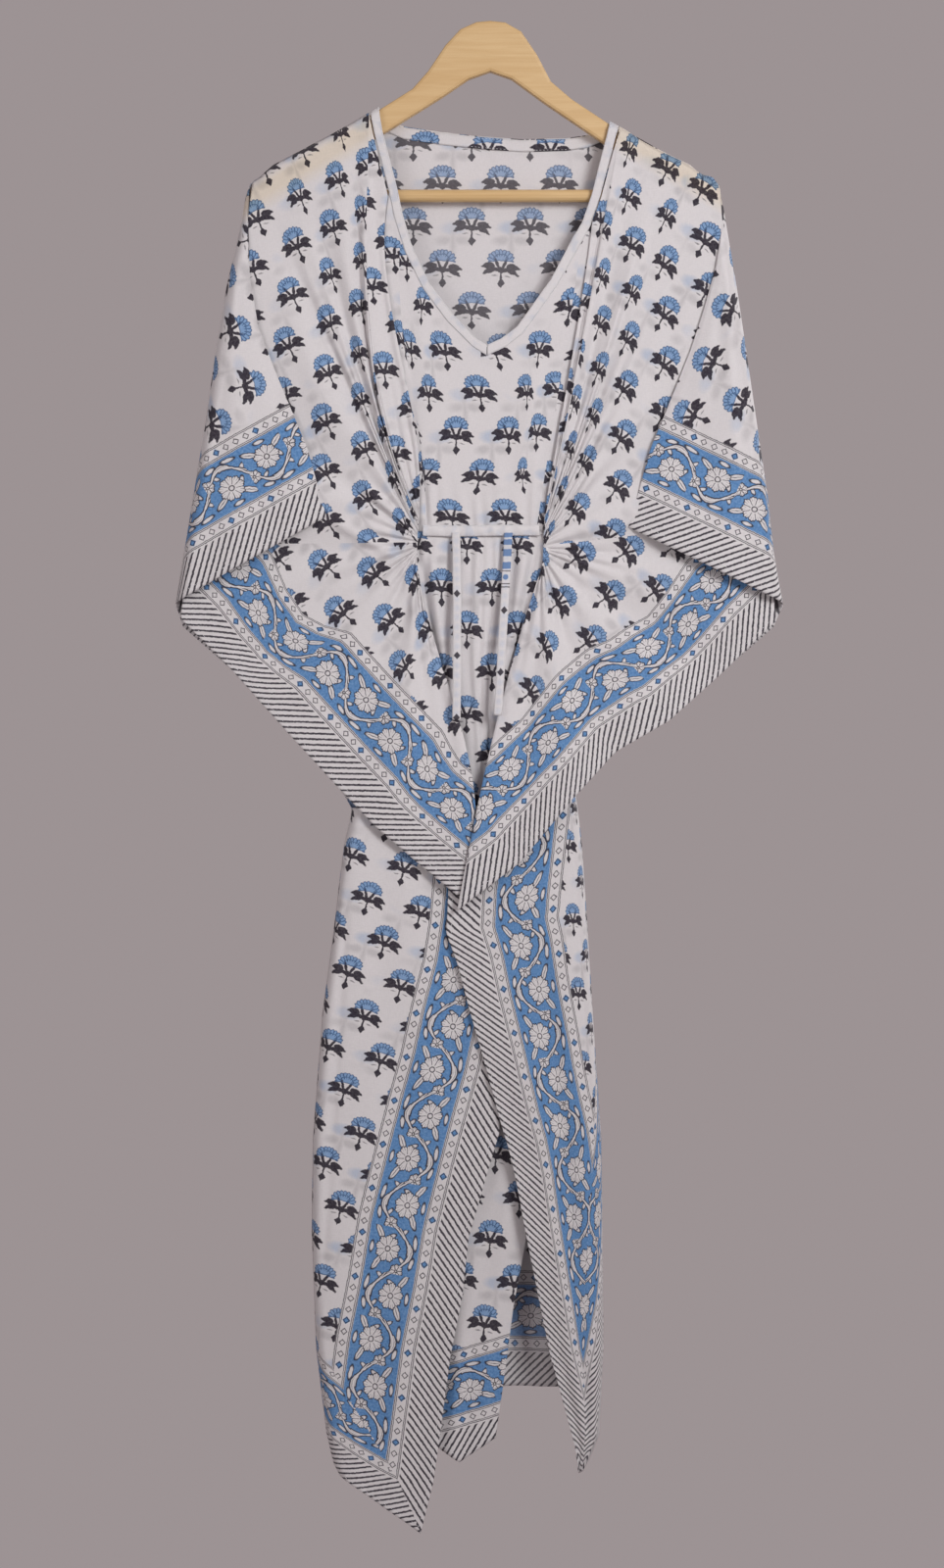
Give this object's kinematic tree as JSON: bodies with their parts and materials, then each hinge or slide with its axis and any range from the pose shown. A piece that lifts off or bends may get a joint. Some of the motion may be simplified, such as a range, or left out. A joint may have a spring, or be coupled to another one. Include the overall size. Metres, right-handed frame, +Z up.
{
  "type": "kaftan dress on a wooden hanger",
  "caption": "Long kaftan dress in border-printed voile with a V neck, sleeves, slanting front edges and wrapped flaps, drawn in at the waist, on a flat wooden hanger.",
  "frame": {"origin": "top of the hanger's crown, where a hook or a hand holds it", "axes": "+Z up along the hanging dress, -Y out of the dress's front towards the viewer, +X to the right as seen from the front"},
  "size_m": [0.5705, 0.0541, 1.416],
  "materials": {
    "printed_voile": "thin off-white cotton voile printed in blue and near-black",
    "plain_voile": "plain off-white cotton voile",
    "wood": "pale wood with a clear satin varnish"
  },
  "bodies": {
    "root": {"front_bodice": "printed_voile", "front_left": "printed_voile", "front_right": "printed_voile", "front_skirt": "printed_voile", "back_panel": "printed_voile", "side_turn_upper_left": "printed_voile", "side_turn_upper_right": "printed_voile", "side_turn_lower_left": "printed_voile", "side_turn_lower_right": "printed_voile", "shoulder_turn_left": "printed_voile", "shoulder_turn_right": "printed_voile", "sleeve_left": "printed_voile", "sleeve_right": "printed_voile", "flap_left": "printed_voile", "flap_right": "printed_voile", "neck_facing_left": "plain_voile", "neck_facing_right": "plain_voile", "neck_facing_back": "plain_voile", "waist_casing": "plain_voile", "tie_left": "plain_voile", "tie_right": "plain_voile", "hanger_body": "wood", "hanger_bar": "wood"}
  },
  "joints": []
}
